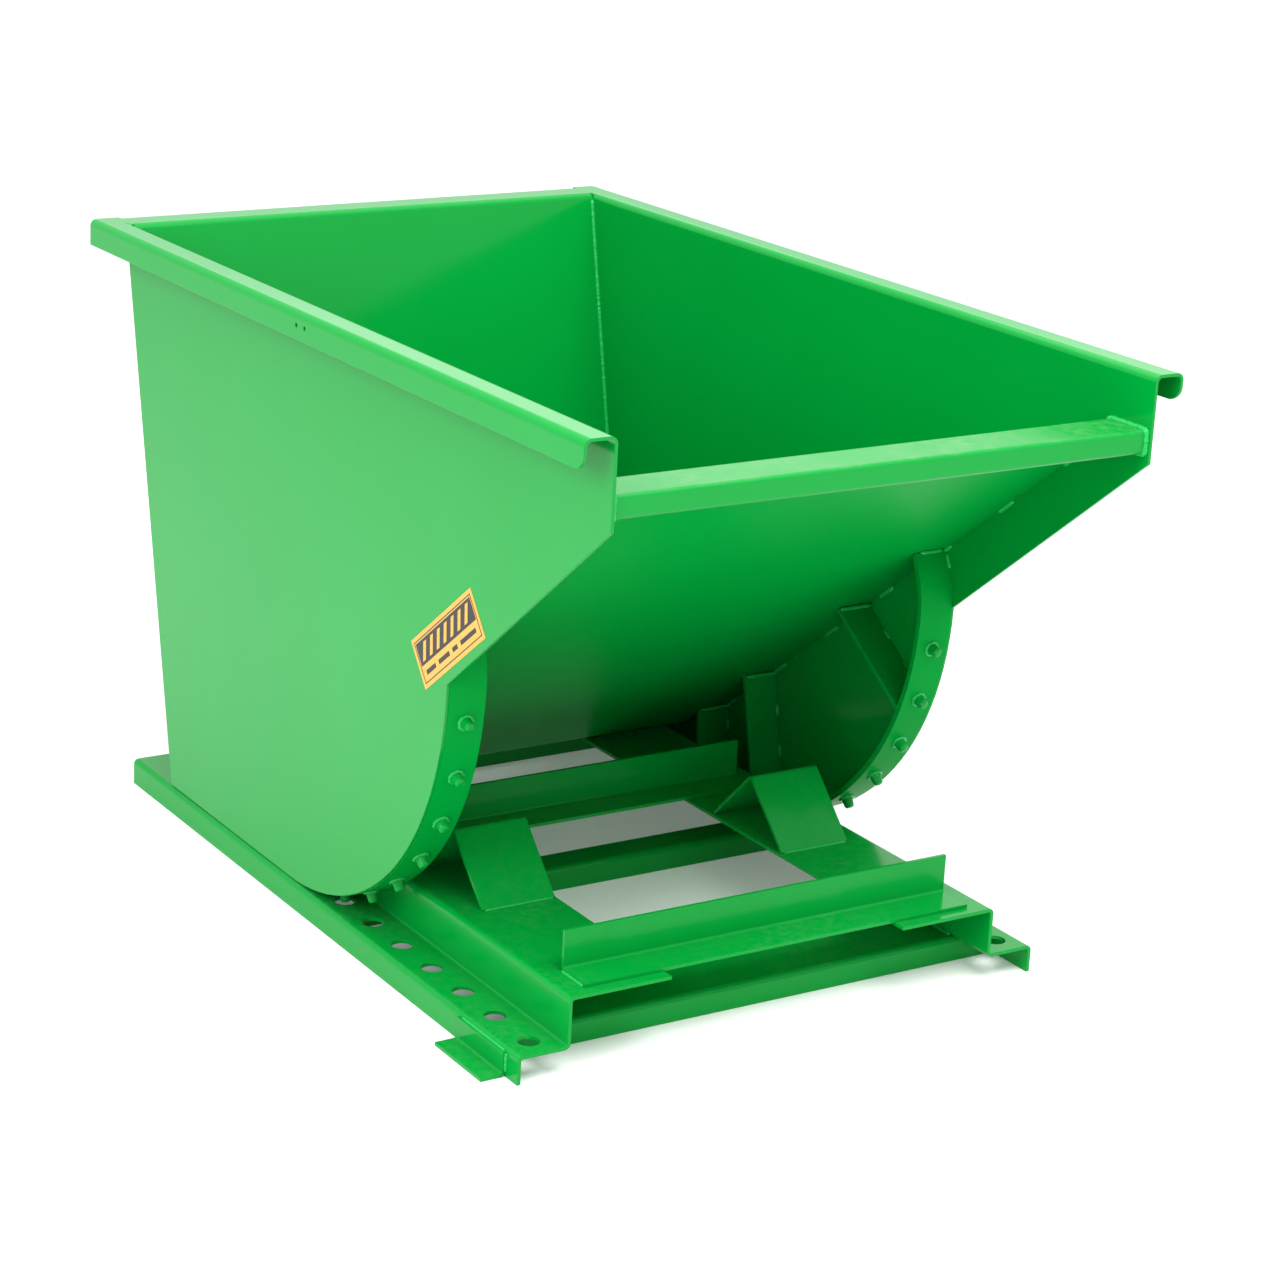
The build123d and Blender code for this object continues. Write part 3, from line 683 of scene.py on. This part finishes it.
for side, sign in SIDES:
    collars = bmesh.new()
    for i in range(PEG_COUNT):
        along = CENTRE.y - (rail_low.y + HOLE_FIRST + PEG_PITCH * i)
        angle = math.degrees(along / ROCKER_RADIUS)
        if angle < LOWEST_COLLAR:
            continue
        foot = rocker_point(sign * strip_x, ROCKER_RADIUS, angle)
        outward = (foot - Vector((foot.x, CENTRE.y, CENTRE.z))).normalized()
        turn = Vector((0, 0, 1)).rotation_difference(outward).to_matrix().to_4x4()
        collar(collars, Matrix.Translation(foot) @ turn)
    bmesh.ops.recalc_face_normals(collars, faces=collars.faces)
    finish_piece(f"peg_collars_{side}", collars, "bin", weld_enamel_painted_highlight)

# ---- base welds ----------------------------------------------------------------------------------
FRAME_BEAD = 0.0034
GUARD_BEAD = 0.0028
BRACKET_BEAD = 0.0036
ANGLE_TACK, ANGLE_TACKS = 0.04, 2
ANGLE_TACKS_END = 0.235  # from the middle, where the last tack on a deck ends
LEG_SEAM_X = 0.408
LEG_SEAM = (0.012, 0.058)  # from the front edge of a lower member
GROUND_GAP = 0.008

deck_bead_z = DECK_TOP + SEAT
angle_seams = []
for place in ("front", "mid", "rear"):
    low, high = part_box(f"{place}_upper_angle")
    for sign in (-1, 1):
        x = sign * (high.x + SEAT)
        angle_seams.append([(x, low.y + 0.004, deck_bead_z), (x, high.y - 0.004, deck_bead_z)])
    for sign in (-1, 1):
        run_start = (sign * (high.x - 0.01), high.y + SEAT, deck_bead_z)
        run_end = (sign * ANGLE_TACKS_END, high.y + SEAT, deck_bead_z)
        angle_seams += tacks(run_start, run_end, ANGLE_TACK, ANGLE_TACKS)
weld("weld_upper_angles", angle_seams, FRAME_BEAD, "base")

guard_seams = []
for side, _ in SIDES:
    low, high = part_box(f"deck_guard_{side}")
    for y in (low.y - 0.0005, high.y + 0.0005):
        guard_seams.append([(low.x + 0.004, y, deck_bead_z), (high.x - 0.004, y, deck_bead_z)])
weld("weld_deck_guards", guard_seams, GUARD_BEAD, "base")

lower_seams = []
leg_bead_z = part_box("mid_lower_member")[1].z + 0.0015
for place in ("front", "mid", "rear"):
    low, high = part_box(f"{place}_lower_member")
    for sign in (-1, 1):
        lower_seams.append([(sign * LEG_SEAM_X, low.y + reach, leg_bead_z) for reach in LEG_SEAM])
weld("weld_lower_members", lower_seams, FRAME_BEAD, "base")

low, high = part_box("side_bracket")
bracket_seams = [
    [(high.x + 0.0006, low.y + 0.006, high.z - SEAT), (high.x + 0.0006, high.y - 0.006, high.z - SEAT)]
]
for y in (low.y - 0.0005, high.y + 0.0005):
    bracket_seams.append([(high.x - 0.0005, y, z) for z in (GROUND_GAP, high.z - 0.002)])
weld("weld_side_bracket", bracket_seams, BRACKET_BEAD, "base")

# ---- latch welds ---------------------------------------------------------------------------------
LUG_BEAD = 0.0032
EAR_BEAD = 0.0026
LUG_INNER = 0.0395  # from the middle, just inside the lugs' facing sides
EAR_INNER = 0.0068

low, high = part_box("striker_lugs")
lug_seams = []
for sign in (-1, 1):
    for x in (sign * LUG_INNER, sign * (high.x + 0.0005)):
        lug_seams.append([(x, low.y + 0.002, low.z + 0.0012), (x, high.y - 0.002, low.z + 0.0012)])
weld("weld_striker_lugs", lug_seams, LUG_BEAD, "base")

low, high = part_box("latch_ears")
ear_seams = []
for x in (low.x - 0.0005, -EAR_INNER, EAR_INNER, high.x + 0.0005):
    ear_seams.append([(x, back_outer_y(z, 0.0008), z) for z in (low.z + 0.002, high.z - 0.002)])
weld("weld_latch_ears", ear_seams, EAR_BEAD, "bin")

# ---- label print ---------------------------------------------------------------------------------
LABEL_LENGTH = 0.225
LABEL_WIDTH = 0.083
LABEL_MARGIN = 0.007  # from the film's edge to the printed frame
INK_THICKNESS = 0.00025
INK_SINK = 0.00005  # into the film, so that no gap shows under the print
FRAME_LINE = 0.0017
PANEL_W, PANEL_H, PANEL_Y = 0.203, 0.037, 0.0120
BAR_START, BAR_GAP, BAR_H, BAR_Y = -0.092, 0.012, 0.0075, -0.0200
BAR_LENGTHS = (0.034, 0.040, 0.018, 0.056)
STRIPE_COUNT, STRIPE_PITCH, STRIPE_W = 7, 0.0262, 0.0105
STRIPE_MARGIN = 0.010  # both together, above and below
STRIPE_SLANT = 0.7
STRIPE_THICKNESS = 0.0002

label_low, label_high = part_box("safety_label")
label_middle = (label_low + label_high) / 2
label_run = Vector((0, -math.cos(CHUTE_ANGLE), math.sin(CHUTE_ANGLE)))
label_rise = Vector((0, math.sin(CHUTE_ANGLE), math.cos(CHUTE_ANGLE)))
label_axes = Matrix.Identity(4)
for column, axis in enumerate((label_run, label_rise, Vector((-1, 0, 0)))):
    for row in range(3):
        label_axes[row][column] = axis[row]
label_frame = Matrix.Translation(Vector((label_low.x, label_middle.y, label_middle.z))) @ label_axes


def print_panel(bm, middle_x, middle_y, width, height):
    """A thin raised rectangle of ink in the label's own plane."""
    place = Matrix.Translation((middle_x, middle_y, INK_THICKNESS / 2 - INK_SINK))
    size = Matrix.Diagonal((width, height, INK_THICKNESS + 2 * INK_SINK, 1))
    bmesh.ops.create_cube(bm, size=1.0, matrix=label_frame @ place @ size)


ink = bmesh.new()
frame_w, frame_h = LABEL_LENGTH - 2 * LABEL_MARGIN, LABEL_WIDTH - 2 * LABEL_MARGIN
for sign in (-1, 1):
    print_panel(ink, 0, sign * (frame_h - FRAME_LINE) / 2, frame_w, FRAME_LINE)
    print_panel(ink, sign * (frame_w - FRAME_LINE) / 2, 0, FRAME_LINE, frame_h - 2 * FRAME_LINE)
print_panel(ink, 0, PANEL_Y, PANEL_W, PANEL_H)
bar_start = BAR_START
for bar_length in BAR_LENGTHS:
    print_panel(ink, bar_start + bar_length / 2, BAR_Y, bar_length, BAR_H)
    bar_start += bar_length + BAR_GAP
finish_piece("label_print_dark", ink, "bin", label_ink, smooth=False)

slant = Matrix.Identity(4)
slant[0][1] = STRIPE_SLANT
stripe_size = Matrix.Diagonal((STRIPE_W, PANEL_H - STRIPE_MARGIN, STRIPE_THICKNESS, 1))
stripes = bmesh.new()
for k in range(STRIPE_COUNT):
    middle_x = STRIPE_PITCH * (k - (STRIPE_COUNT - 1) / 2)
    place = Matrix.Translation((middle_x, PANEL_Y, INK_THICKNESS * 1.6))
    bmesh.ops.create_cube(stripes, size=1.0, matrix=label_frame @ place @ slant @ stripe_size)
finish_piece("label_print_stripes", stripes, "bin", label_film, smooth=False)

# ---- grip ribs -----------------------------------------------------------------------------------
GRIP_RISE = math.radians(10)
RIB_COUNT, RIB_PITCH, RIB_RADIUS, RIB_SECTION = 5, 0.0105, 0.0168, 0.0022

grip_low, grip_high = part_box("handle_grip")
grip_axis = Vector((0, math.cos(GRIP_RISE), math.sin(GRIP_RISE)))
grip_middle = (grip_low + grip_high) / 2
grip_turn = Vector((0, 0, 1)).rotation_difference(grip_axis).to_matrix().to_4x4()
grip = bmesh.new()
for k in range(RIB_COUNT):
    place = grip_middle + grip_axis * RIB_PITCH * (k - (RIB_COUNT - 1) / 2)
    rib = spun_ring(grip, RIB_RADIUS, RIB_SECTION, steps=32)
    bmesh.ops.transform(grip, matrix=Matrix.Translation(place) @ grip_turn, verts=rib)
bmesh.ops.recalc_face_normals(grip, faces=grip.faces)
finish_piece("grip_ribs", grip, "latch", grip_rubber)


# ---- studio --------------------------------------------------------------------------------------
FLOOR_HALF = 30.0
FLOOR_WHITE = 0.86
FLOOR_GLOW = 0.14
CAMERA_PLACE = (-2.8216, -4.4334, 2.1566)
CAMERA_PAN, CAMERA_TILT, CAMERA_ROLL = -30.30, -16.98, 2.10  # degrees
CAMERA_LENS = 89.6  # mm, on a 36 mm sensor
CAMERA_SHIFT = (0.137, -0.0475)


def floor_material():
    """Plain white floor."""
    material = bpy.data.materials.new("pale_floor")
    material.use_nodes = True
    shader = material.node_tree.nodes["Principled BSDF"]
    shader.inputs["Base Color"].default_value = (FLOOR_WHITE, FLOOR_WHITE, FLOOR_WHITE, 1)
    shader.inputs["Roughness"].default_value = 0.9
    shader.inputs["Emission Color"].default_value = (1, 1, 1, 1)
    shader.inputs["Emission Strength"].default_value = FLOOR_GLOW
    return material


def studio_floor():
    """The floor that the base stands on."""
    bm = bmesh.new()
    bmesh.ops.create_grid(bm, x_segments=1, y_segments=1, size=FLOOR_HALF)
    mesh = bpy.data.meshes.new("studio_floor")
    bm.to_mesh(mesh)
    bm.free()
    mesh.materials.append(floor_material())
    floor = bpy.data.objects.new("studio_floor", mesh)
    bpy.context.scene.collection.objects.link(floor)


def soft_light(name, place, aim, size, power):
    """A rectangular area light that faces aim."""
    data = bpy.data.lights.new(name, "AREA")
    data.shape = "RECTANGLE"
    data.size, data.size_y = size
    data.energy = power
    light = bpy.data.objects.new(name, data)
    bpy.context.scene.collection.objects.link(light)
    light.location = place
    light.rotation_euler = (Vector(aim) - Vector(place)).to_track_quat("-Z", "Y").to_euler()


def studio_world(strength):
    """Even white light from all round."""
    world = bpy.data.worlds.new("studio_world")
    world.use_nodes = True
    world.node_tree.nodes["Background"].inputs["Color"].default_value = (1, 1, 1, 1)
    world.node_tree.nodes["Background"].inputs["Strength"].default_value = strength
    bpy.context.scene.world = world


def studio_camera():
    """The camera, in front of the left corner and looking slightly down."""
    data = bpy.data.cameras.new("camera")
    data.sensor_width = 36.0
    data.lens = CAMERA_LENS
    data.shift_x, data.shift_y = CAMERA_SHIFT
    data.clip_end = 100.0
    camera = bpy.data.objects.new("camera", data)
    bpy.context.scene.collection.objects.link(camera)
    turn = (
        Matrix.Rotation(math.radians(CAMERA_PAN), 4, "Z")
        @ Matrix.Rotation(math.radians(90 + CAMERA_TILT), 4, "X")
        @ Matrix.Rotation(math.radians(CAMERA_ROLL), 4, "Z")
    )
    camera.matrix_world = Matrix.Translation(CAMERA_PLACE) @ turn
    bpy.context.scene.camera = camera


studio_floor()
studio_world(1.0)
soft_light("overhead_soft", (0.0, 0.5, 4.2), (0, 0.2, 0.5), (5.0, 5.0), 90)
soft_light("back_soft", (3.6, 5.2, 3.4), (0, 0, 1.0), (5.0, 1.8), 22)
soft_light("key_soft", (-4.8, -1.2, 3.2), (0, 0, 0.6), (3.0, 3.0), 170)
soft_light("front_fill", (0.2, -2.9, 5.0), (0, 0.6, 0.7), (3.0, 2.5), 215)
studio_camera()
bpy.context.scene.view_settings.view_transform = "Standard"
bpy.context.view_layer.update()
